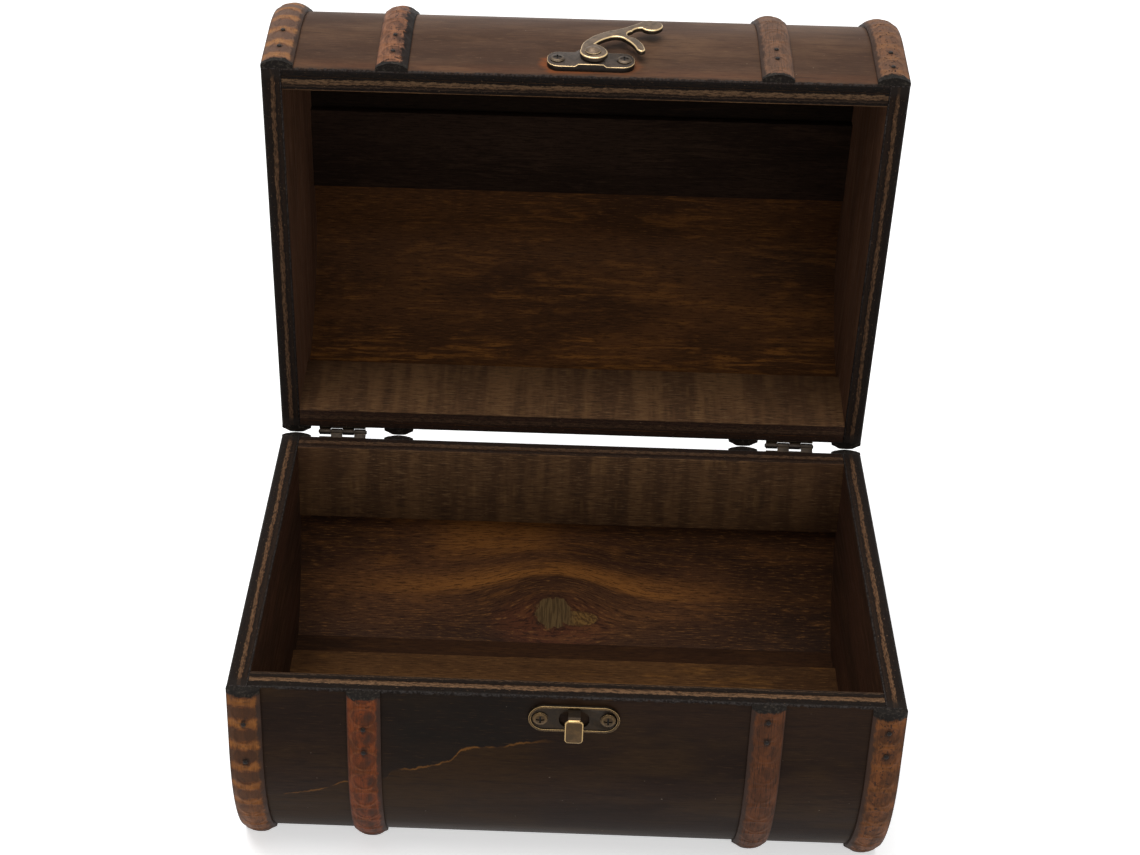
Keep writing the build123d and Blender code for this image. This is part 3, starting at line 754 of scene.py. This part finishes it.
def linerStrip(frameName, sideName):
    side = sides[sideName]
    up = rimUps[frameName]
    low, high = (up - chest["linerHeight"], up) if frameName == "base" else (up, up + chest["linerHeight"])
    inner = chest["halfDepth"] - chest["wallAtRim"]
    outer = chest["halfDepth"] - chest[frameName + "Panel"] - liner["setIn"]
    lowY, highY = sorted((side * inner, side * outer))
    bm = bmesh.new()
    bmesh.ops.create_cube(bm, size=1)
    bmesh.ops.scale(bm, vec=(2 * innerHalfWidth, highY - lowY, high - low), verts=bm.verts)
    bmesh.ops.translate(bm, vec=(0, (lowY + highY) / 2, (low + high) / 2), verts=bm.verts)
    faceY = side * inner
    softenEdges(bm, [edge for edge in lengthwise(bm) if all(abs(v.co.y - faceY) < 0.01 for v in edge.verts)],
                liner["arris"])
    bmesh.ops.subdivide_edges(bm, edges=lengthwise(bm), cuts=liner["cuts"], use_grid_fill=True)
    for vert in bm.verts:
        if abs(vert.co.y - faceY) < 0.6:
            mark = sum(share * noise.noise(Vector((vert.co.x * fine, vert.co.z * coarse, faceY)))
                       for fine, coarse, share in liner["marks"])
            vert.co.y += side * liner["sawDepth"] * (0.5 + 0.5 * mark)
    bmesh.ops.transform(bm, matrix=frames[frameName], verts=bm.verts)
    name = f"{frameName}_{sideName}_liner"
    woods = [linerWoods[frameName], rimWoods[frameName, False]]
    makePiece(name + "_wood", bm, frameName, "lining_wood", woods, name, sharp=25,
              pick=lambda face: 1 if atRim(face, frameName) else 0)


for frameName in frames:
    for sideName in sides:
        linerStrip(frameName, sideName)
print("Liners made")

# Flat boards: bottom, raised floor and the strip under the lid's crown
flatBoards = dict(
    base_bottom_board=dict(frame="base", slot="shell_wood", low=0, high=6, halves=(42.5, 50.3), arris=0.0),
    base_floor_board=dict(frame="base", slot="lining_wood", low=6, high=10, halves=(35.5, 35.5), arris=0.3),
    lid_ridge_strip=dict(frame="lid", slot="lining_wood", low=74.8, high=78, halves=(17, 17), arris=0.4),
)
for name, look in flatBoards.items():
    bm = bmesh.new()
    bmesh.ops.create_cube(bm, size=1)
    bmesh.ops.scale(bm, vec=(2 * innerHalfWidth, 2, look["high"] - look["low"]), verts=bm.verts)
    bmesh.ops.translate(bm, vec=(0, 0, (look["low"] + look["high"]) / 2), verts=bm.verts)
    for vert in bm.verts:
        vert.co.y *= look["halves"][0 if vert.co.z < look["low"] + 0.1 else 1]
    if look["arris"]:
        softenEdges(bm, lengthwise(bm), look["arris"])
    bmesh.ops.transform(bm, matrix=frames[look["frame"]], verts=bm.verts)
    makePiece(name + "_wood", bm, look["frame"], look["slot"], [boardWoods[name]], name)
print("Flat boards made")

# Ribs of half-round moulding with oval pressings
relief = dict(
    pitch=9.0, ovalLength=0.86, ovalHalf=4.3, ring=0.13, depth=0.3, hollow=0.16, wear=0.06, fade=1.2,
    step=0.75, bed=0.25,
)
strap = dict(
    halfWidth=5.5, flank=0.9, foot=0.45, rise=3.0, arcPoints=15, setback=0.2, overrun=0.8, overruns=7,
)
strapTones = dict(scorch=(56, 41, 34), shadow=(52, 36, 29), speck=(52, 36, 29), nail=(32, 24, 20),
                  soot=((24, 20, 17), (60, 54, 47)), foot=(70, 52, 42))
# what holds for each rib unless its own look says otherwise; far is where the other rim comes, and out of
# reach on the base
strapLook = dict(
    lines=0.5, ragged=3.0, stained=0.85, flank=(52, 40, 34), outer=(54, 40, 33), edge=3.7,
    halo=0.8, far=300.0,
)
strapLooks = [
    dict(ground=(120, 72, 36), second=(92, 56, 33), band=0.8, bandTone=(64, 43, 30), bright=0.85,
         brightTone=(150, 96, 48), bandEnd=66, scorch=0.3, ring=0.15, ringTone=(124, 86, 54),
         grain=(66, 42, 27), flecks=0.4, seed=1.0, tip=1.7, side=1),
    dict(ground=(118, 58, 28), second=(84, 45, 26), band=0.2, bandTone=(62, 38, 27), bright=0.3,
         brightTone=(122, 68, 33), bandEnd=70, scorch=0.85, ring=0.3, ringTone=(132, 84, 52),
         grain=(60, 34, 21), flecks=0.6, seed=4.0, tip=1.5, side=1,
         onLid=dict(ground=(136, 92, 66), second=(104, 72, 56), grain=(74, 53, 43), edge=2.3,
                    flank=(17, 13, 11), outer=(17, 13, 11), stained=0.97, ragged=4.6,
                    flecks=1.0, scorch=0.95)),
    dict(ground=(96, 56, 32), second=(76, 46, 29), band=0.1, bandTone=(54, 36, 27), bright=0.1,
         brightTone=(104, 62, 35), bandEnd=70, scorch=0.25, ring=0.15, ringTone=(100, 70, 50),
         grain=(46, 31, 23), flecks=0.3, seed=8.0, tip=1.2, side=-1, lines=0.85,
         onLid=dict(ground=(116, 84, 64), second=(98, 74, 60), grain=(72, 56, 47), ringTone=(126, 96, 74))),
    dict(ground=(114, 68, 36), second=(80, 50, 30), band=0.1, bandTone=(56, 38, 28), bright=0.35,
         brightTone=(134, 84, 43), bandEnd=70, scorch=0.25, ring=0.12, ringTone=(122, 86, 56),
         grain=(58, 36, 23), flecks=1.0, seed=15.0, tip=2.4, side=-1),
]
# the lid's ribs have the same tones, painted lighter and greyer with a bluish sheen, as the lid is lit
# strongly from above
lidLitShares = dict(ground=1.0, second=1.25, bandTone=1.35, brightTone=1.0, grain=1.45, ringTone=1.2)
lidSheen = (5, 14, 22)
# where the nails go in, as shares of the wall's straight run
nailShares = dict(
    base=((0.51, 1.11), (0.53, 0.9), (0.2, 0.51), (0.3, 0.67)),
    lid=((0.4, 0.85), (0.35, 0.8), (0.44, 0.69), (0.3, 0.69)),
)
dome = strap["rise"] - strap["flank"]
bow = (strap["halfWidth"] ** 2 + dome ** 2) / (2 * dome)


def strapWood(name, look):
    # The finish follows the oval pressings by the rib's own along and across values
    material, surface = startMaterial("strap_wood_" + name)
    along = carried("along")
    across = carried("across")
    flat = joined(across, along, look["seed"])
    stir = cloud(flat, (0.5, 0.35, 1), roughness=0.6)
    cell = sums("FRACT", plus(divided(along, relief["pitch"]), 0.5))
    spot = sums("MULTIPLY_ADD", cell, 2.0, -1.0)
    oval = apart(divided(spot, relief["ovalLength"]), divided(across, relief["ovalHalf"]))
    oval = swayed(oval, stir, 0.16)
    fromMiddle = off(swayed(spot, stir, 0.7))
    grain = cloud(flat, (2.2, 0.14, 1), detail=4, roughness=0.65)
    blotch = cloud(flat, (0.3, 0.12, 1), (3, 0, 0), 4, 0.65)
    colour = mixed(between(blotch, 0.4, 0.6), look["ground"], look["second"])
    fading = between(along, look["bandEnd"] - 30, look["bandEnd"], 1, 0.15)
    band = times(between(fromMiddle, 0.4, 0.66, 1, 0), fading, look["band"])
    colour = mixed(band, colour, look["bandTone"])
    bright = times(between(fromMiddle, 0.56, 0.85), between(blotch, 0.35, 0.6, 1, 0.5), fading,
                   look["bright"])
    colour = mixed(bright, colour, look["brightTone"])
    # burnt marks in the ovals, towards one side
    scorch = times(between(oval, 0.4, 0.85, 1, 0),
                   between(swayed(across, stir, 6.0), -0.6, 2.6), look["scorch"])
    colour = mixed(scorch, colour, strapTones["scorch"])
    worn = between(cloud(flat, (0.3, 0.3, 1), (7, 0, 0), roughness=0.6), 0.38, 0.58, 0.15, 1)
    shadow = times(between(off(oval, 0.8), 0.03, 0.12, 0.35, 0), worn)
    colour = mixed(shadow, colour, strapTones["shadow"])
    ring = times(between(off(oval, 1.0), 0.04, 0.13, 1, 0), worn, look["ring"])
    colour = mixed(ring, colour, look["ringTone"])
    colour = mixed(between(grain, 0.5, 0.64, 0, look["lines"]), colour, look["grain"])
    aside = off(across)
    speck = cloud(flat, (0.7, 0.5, 1), (1, 5, 0), roughness=0.65)
    specks = times(between(speck, 0.56, 0.64, 0, look["flecks"]), between(aside, 1.5, 4, 1, 0.35))
    colour = mixed(specks, colour, strapTones["speck"])
    for nail in look["nails"]:
        away = apart(across, times(minus(along, nail), 0.7))
        halo = between(swayed(away, stir, 2.4), 0.7, 1.7, look["halo"], 0)
        colour = mixed(halo, colour, strapTones["nail"])
    # the flank that the stain reached, the ragged soot at the rim and the sooty foot
    edgeway = swayed(times(across, look["side"]), stir, look["ragged"])
    stained = between(edgeway, look["edge"], look["edge"] + 1, 0, look["stained"])
    colour = mixed(stained, colour, look["flank"])
    colour = mixed(between(aside, 4.9, 5.4, 0, 0.7), colour, look["outer"])
    jagged = swayed(along, stir, 3.6)
    ends = [between(reach, look["tip"], look["tip"] + 0.9, 1, 0)
            for reach in (jagged, minus(look["far"], jagged))]
    grit = cloud(frameCoords("base"), 0.9, detail=4, roughness=0.7)
    soot = mixed(between(grit, 0.5, 0.68), *strapTones["soot"])
    colour = mixed(larger(*ends), colour, soot)
    foot = between(jagged, look["length"] - 12, look["length"] - 3, 0, 0.6)
    colour = mixed(foot, colour, strapTones["foot"])
    height = plus(grain, times(speck, 0.6))
    finishSurface(surface, colour, between(blotch, 0.3, 0.7, 0.5, 0.62), height, 0.5, 0.0003, gloss=0.07)
    return material


def pressed(distance, x, height):
    # Sinks the rib's crown except along the ovals' rings
    if height < strap["flank"]:
        return x, height
    spot = 2 * ((distance / relief["pitch"] + 0.5) % 1) - 1
    oval = hypot(spot / relief["ovalLength"], x / relief["ovalHalf"])
    ridge = exp(-((oval - 1) / relief["ring"]) ** 2)
    bowl = max(0.0, 1 - oval) ** 0.5
    fade = min(1.0, (strap["halfWidth"] - abs(x)) / relief["fade"])
    sunk = relief["depth"] * (1 - ridge) - relief["hollow"] * bowl
    worn = relief["wear"] * noise.noise(Vector((x * 0.5, distance * 0.25, 0)))
    return x, height - fade * max(0.0, sunk + worn)


def strapProfile():
    half, count = strap["halfWidth"], strap["arcPoints"]
    points = [(-half, -relief["bed"]), (half, -relief["bed"]), (half, strap["foot"])]
    for number in range(count + 1):
        x = half * (1 - 2 * number / count)
        points.append((x, strap["rise"] - bow + (bow ** 2 - x ** 2) ** 0.5))
    return points + [(-half, strap["foot"])]


def strapPlaces(frameName, side, x, whole):
    # Places along a rib: down one wall of the base and on below the ground, or right over the lid
    own = frames[frameName]
    shift = own @ Matrix.Translation((x, 0, 0)) @ own.inverted()
    run = trace(wallRuns[frameName], relief["step"])
    places = [(s[0], shift @ stationPlace(frameName, side, s)) for s in run]
    if whole:
        # on the far side the run goes on down to the other rim
        total = run[-1][0]
        flip = Matrix.Diagonal((1, 1, -1, 1))
        places += [(2 * total - s[0], shift @ stationPlace(frameName, -side, s) @ flip)
                   for s in reversed(run[:-1])]
        distance, place = places[-1]
        places[-1] = (distance - strap["setback"], place @ Matrix.Translation((0, 0, -strap["setback"])))
    else:
        distance, place = places[-1]
        for more in (strap["overrun"] * number for number in range(1, strap["overruns"] + 1)):
            places.append((distance + more, place @ Matrix.Translation((0, 0, more))))
    places[0] = (strap["setback"], places[0][1] @ Matrix.Translation((0, 0, strap["setback"])))
    return places


def makeStrap(name, frameName, side, x, material, whole):
    bm = bmesh.new()
    sweepAlong(bm, strapProfile(), strapPlaces(frameName, side, x, whole), shape=pressed)
    if not whole:
        cutAtGround(bm)
    makePiece(name + "_wood", bm, frameName, "strap_wood", [material], name, sharp=40)


baseLength = trace(wallRuns["base"], 5)[-1][0]
lidLength = 2 * trace(wallRuns["lid"], 5)[-1][0]
for number, (x, ownLook) in enumerate(zip(chest["strapSpots"], strapLooks), 1):
    nails = {key: [share * wallRuns[key]["runs"][0][0] for share in nailShares[key][number - 1]]
             for key in frames}
    look = dict(strapLook, **ownLook)
    lidLook = dict(look, length=lidLength + 40, bandEnd=lidLength, far=lidLength, halo=0.3)
    lidLook["nails"] = nails["lid"]
    # each tone painted lighter and given a bluish painted sheen
    for key, fading in lidLitShares.items():
        lidLook[key] = tuple(value * fading + dust for value, dust in zip(look[key], lidSheen))
    lidLook.update(look.get("onLid", {}))
    baseWood = strapWood(f"base_{number}", dict(look, length=baseLength, nails=nails["base"]))
    lidWood = strapWood(f"lid_{number}", lidLook)
    for sideName, side in sides.items():
        makeStrap(f"base_strap_{sideName}_{number}", "base", side, x, baseWood, False)
    makeStrap(f"lid_strap_{number}", "lid", -1, x, lidWood, True)
print("Straps made")

# Metal fittings: the CAD's own shapes, merged and with their edges rounded. A width rounds all edges.
# Each round gives how far from the wall its edges lie (from, to), its width and its segments.
anywhere = (-20, 20)
hingeSides = ("left", "right")
leaves = [(side, half) for half in frames for side in hingeSides]
fittings = dict(
    hook=dict(body="hook", metal="hook", rounds=((3.6, 20, 0.5, 3), (-20, 3.4, 0.3, 2))),
    hook_plate=dict(body="lid", metal="latch", rounds=((1.5, 20, 0.38, 3),)),
    hook_washer=dict(body="lid", metal="keeper", width=0.12),
    hook_rivet=dict(body="lid", metal="hook", width=0.16),
    hook_plate_screws=dict(body="lid", metal="latch", width=0.12, recess=((-9.4, 8.3), (13.4, 8.3))),
    keeper_plate=dict(body="base", metal="keeper", rounds=((6.0, 20, 0.5, 3), (1.2, 1.5, 0.14, 2)), pad=6.5),
    keeper_screws=dict(body="base", metal="keeper", width=0.12, recess=((-8.05, 72), (13.95, 72))),
    **{f"hinge_{side}_{half}_leaf": dict(body=half, metal="hinge", width=0.12) for side, half in leaves},
    **{f"{half}_strap_nails": dict(body=half, metal="nail", width=0.16) for half in frames},
    **{f"hinge_{side}_pin": dict(body="base", metal="nail", width=0.1) for side in hingeSides},
    **{f"hinge_{half}_screws": dict(body=half, metal="nail", width=0.2) for half in frames},
)
# how worn the flats are, the painted highlight round the screw heads, and the painted shade on the sides and
# in the cross recesses
wear = dict(padWorn=0.2, rimHighlight=0.28, headShade=0.34, sideShade=0.75, crossRadius=1.6, headRadius=2.4,
            crossDepth=(0.19, 0.25))


def agedBrass(name, dark, bright, worn=1.0):
    # Antiqued metal: dark in the flats and bright on the rounded edges, where the worn value is high: rubbed
    # brass with a painted highlight. The other value paints shade on the sides and in the cross recesses.
    material, surface = startMaterial(name)
    coords = frameCoords("base")
    grit = cloud(coords, 1.6, detail=4, roughness=0.65)
    stain = cloud(coords, 0.35, roughness=0.6)
    colour = mixed(between(stain, 0.35, 0.65), dark, tuple(v * 1.3 for v in dark))
    colour = mixed(between(grit, 0.5, 0.7, 0, 0.55), colour, tuple(v * 0.6 for v in dark))
    # rubbed brass and a painted highlight on the rounded edges
    rubbedAndHighlit = between(swayed(carried("worn"), grit, 0.34), 0.2, 0.75, 0, worn)
    colour = mixed(rubbedAndHighlit, colour, bright)
    # painted shade on the sides and in the cross recesses
    colour = mixed(carried("paintedShade"), colour, (14, 11, 9))
    roughness = swayed(sums("MULTIPLY_ADD", rubbedAndHighlit, -0.2, 0.46), grit, 0.2)
    finishSurface(surface, colour, roughness, grit, 0.3, 0.00006, metal=0.8)
    return material


metals = dict(
    latch=agedBrass("latch_brass", (60, 51, 44), (212, 182, 136)),
    keeper=agedBrass("keeper_brass", (60, 45, 26), (176, 146, 98)),
    hook=agedBrass("hook_brass", (90, 76, 62), (222, 192, 144)),
    hinge=agedBrass("hinge_brass", (40, 33, 26), (124, 100, 68), 0.6),
    nail=agedBrass("nail_steel", (22, 18, 16), (74, 62, 52), 0.4),
)


def roundedFitting(name, look):
    bm = bmesh.new()
    bm.from_mesh(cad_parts[name].data)
    bmesh.ops.remove_doubles(bm, verts=bm.verts, dist=2e-6)
    bmesh.ops.dissolve_limit(bm, angle_limit=radians(0.5), verts=bm.verts, edges=bm.edges,
                             use_dissolve_boundaries=False, delimit={"NORMAL"})
    frameName = "base" if look["body"] == "base" else "lid"
    toOwn = frames[frameName].inverted()
    wallWay = (frames[frameName].to_3x3() @ Vector((0, 1, 0))).normalized()
    worn = bm.verts.layers.float.new("worn")
    paintedShade = bm.verts.layers.float.new("paintedShade")

    def fromWall(vert):
        return abs((toOwn @ vert.co).y) - chest["halfDepth"]

    top = max(fromWall(vert) for vert in bm.verts)
    rounds = look.get("rounds") or ((*anywhere, look["width"], 2),)
    rounded = []
    for near, far, width, segments in rounds:
        edges = [edge for edge in sharpEdges(bm, 40) if all(
            near <= fromWall(vert) <= far for vert in edge.verts)]
        rounded += softenEdges(bm, edges, width * millimetre, segments, clamp=len(rounds) == 1)
    rounded = set(face for face in rounded if face.is_valid)
    for vert in bm.verts:
        over = fromWall(vert) - top
        if over > 0:
            # a rounded edge bulges no further than the solid does
            vert.co -= wallWay * over * (millimetre if (toOwn @ vert.co).y > 0 else -millimetre)
    # worn: rounded edges and a ring round the screw heads, for rubbed brass and a painted highlight; the
    # other value paints shade on the sides and in the cross recesses
    for vert in bm.verts:
        isSide = any(face not in rounded and abs(face.normal.dot(wallWay)) < 0.3 for face in vert.link_faces)
        vert[worn] = 1.0 if all(face in rounded for face in vert.link_faces) else 0.0
        vert[paintedShade] = wear["sideShade"] if isSide else 0.0
        if "pad" in look and fromWall(vert) > look["pad"] and not isSide:
            vert[worn] = max(vert[worn], wear["padWorn"])
        for x, up in look.get("recess", ()):
            place = toOwn @ vert.co
            away = hypot(place.x - x, place.z - up)
            if away < wear["crossRadius"]:
                shallow, deep = wear["crossDepth"]
                sunk = (top - fromWall(vert) - shallow) / (deep - shallow)
                vert[paintedShade] = min(1.0, max(wear["headShade"], sunk))
                vert[worn] = 0.0
            elif away < wear["headRadius"]:
                vert[worn] = wear["rimHighlight"]
    slotName = "nail_steel" if look["metal"] == "nail" else "antique_brass"
    makePiece(name + "_metal", bm, look["body"], slotName, [metals[look["metal"]]], name, sharp=50)


for name, look in fittings.items():
    roundedFitting(name, look)
print("Metal fittings made")


# The studio

def seenRays():
    # 1 for the camera and in reflections, 0 for light that falls on the chest
    rays = addNode("ShaderNodeLightPath").outputs
    return larger(rays["Is Camera Ray"], rays["Is Glossy Ray"], rays["Is Transmission Ray"])


# A plain pale floor that keeps the chest's shadow
floorLook = dict(size=14, paper=0.93, glow=0.55)
bpy.ops.mesh.primitive_plane_add(size=floorLook["size"], location=(0, 0, 0))
floorSheet = bpy.context.object
floorSheet.name = "floor_sheet"
floorMaterial = bpy.data.materials.new("floor_paper")
startTree(floorMaterial)
paper = addNode("ShaderNodeBsdfDiffuse")
paper.inputs["Color"].default_value = (floorLook["paper"],) * 3 + (1,)
glow = addNode("ShaderNodeEmission")
glow.inputs["Strength"].default_value = floorLook["glow"]
both = addNode("ShaderNodeAddShader")
feed(paper.outputs[0], both.inputs[0])
feed(glow.outputs[0], both.inputs[1])
choice = addNode("ShaderNodeMixShader")
for source, socket in zip((seenRays(), paper.outputs[0], both.outputs[0]), choice.inputs):
    feed(source, socket)
feed(choice.outputs[0], addNode("ShaderNodeOutputMaterial").inputs[0])
floorSheet.data.materials.append(floorMaterial)

# The world: white to the camera and in reflections, softer as a light
worldLook = dict(light=0.3, seen=1.0)
world = bpy.data.worlds.new("studio")
scene.world = world
startTree(world)
sky = addNode("ShaderNodeBackground")
sky.inputs["Color"].default_value = (1, 1, 1, 1)
strength = sums("MULTIPLY_ADD", seenRays(), worldLook["seen"] - worldLook["light"], worldLook["light"])
feed(strength, sky.inputs["Strength"])
feed(sky.outputs[0], addNode("ShaderNodeOutputWorld").inputs[0])

# Lamps
lamps = dict(
    overhead=dict(place=(-0.2, -0.1, 1.5), aim=(0, 0.05, 0.08), size=(1.4, 1.1), power=20),
    front=dict(place=(0.5, -1.5, 0.75), aim=(0, 0, 0.08), size=(1.2, 0.8), power=3.5),
)


def aimed(place, aim):
    turn = (Vector(place) - Vector(aim)).to_track_quat("Z", "Y")
    return Matrix.Translation(place) @ turn.to_matrix().to_4x4()


for name, lamp in lamps.items():
    light = bpy.data.lights.new(name, "AREA")
    light.shape = "RECTANGLE"
    light.size, light.size_y = lamp["size"]
    light.energy = lamp["power"]
    holder = bpy.data.objects.new(name, light)
    holder.matrix_world = aimed(lamp["place"], lamp["aim"])
    scene.collection.objects.link(holder)

# The camera at the photograph's angle, rolled a little
view = dict(place=(-0.0074, -0.6616, 0.5384), target=(-0.0255, 0.0889, 0.080), roll=1.11, lens=72.2,
            shift=(0.0575, -0.0009), sensor=36, clipStart=0.01)
cameraData = bpy.data.cameras.new("camera")
cameraData.lens = view["lens"]
cameraData.sensor_width = view["sensor"]
cameraData.shift_x, cameraData.shift_y = view["shift"]
cameraData.clip_start = view["clipStart"]
camera = bpy.data.objects.new("camera", cameraData)
camera.matrix_world = aimed(view["place"], view["target"]) @ Matrix.Rotation(radians(view["roll"]), 4, "Z")
scene.collection.objects.link(camera)
scene.camera = camera
scene.view_settings.view_transform = "Standard"
print("Studio made")
